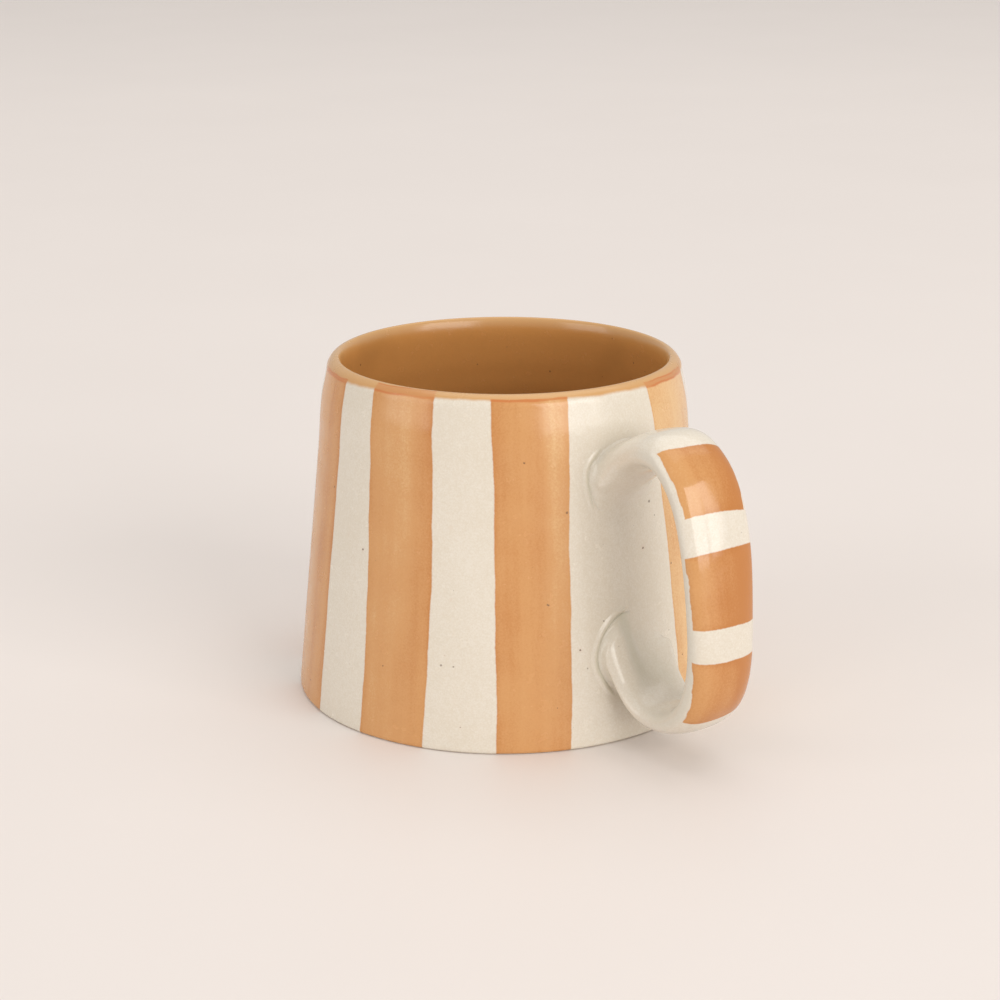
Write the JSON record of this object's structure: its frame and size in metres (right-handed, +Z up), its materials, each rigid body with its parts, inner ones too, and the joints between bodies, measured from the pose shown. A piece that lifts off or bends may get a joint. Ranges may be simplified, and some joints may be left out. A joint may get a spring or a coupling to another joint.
{
  "type": "mug",
  "caption": "Stoneware mug: straight tapered body wider at the base, rounded rim, and a broad strap handle luted to the wall at two flared joints.",
  "frame": {"origin": "centre of the flat underside, on the cup body's axis, so the mug stands on z = 0", "axes": "+Z up along the cup body's axis, +X towards the handle"},
  "size_m": [0.126, 0.0972, 0.078],
  "materials": {
    "cup_glaze": "glossy cream glaze over hand-brushed vertical tan bands, honey-brown glaze inside and over the rim",
    "handle_glaze": "glossy cream glaze with three hand-brushed orange-tan bands across the outer face",
    "slip_glaze": "glossy cream glaze pooled over the joint"
  },
  "bodies": {
    "root": {"cup_body": "cup_glaze", "handle": "handle_glaze", "upper_luting_slip": "slip_glaze", "lower_luting_slip": "slip_glaze"}
  },
  "joints": []
}
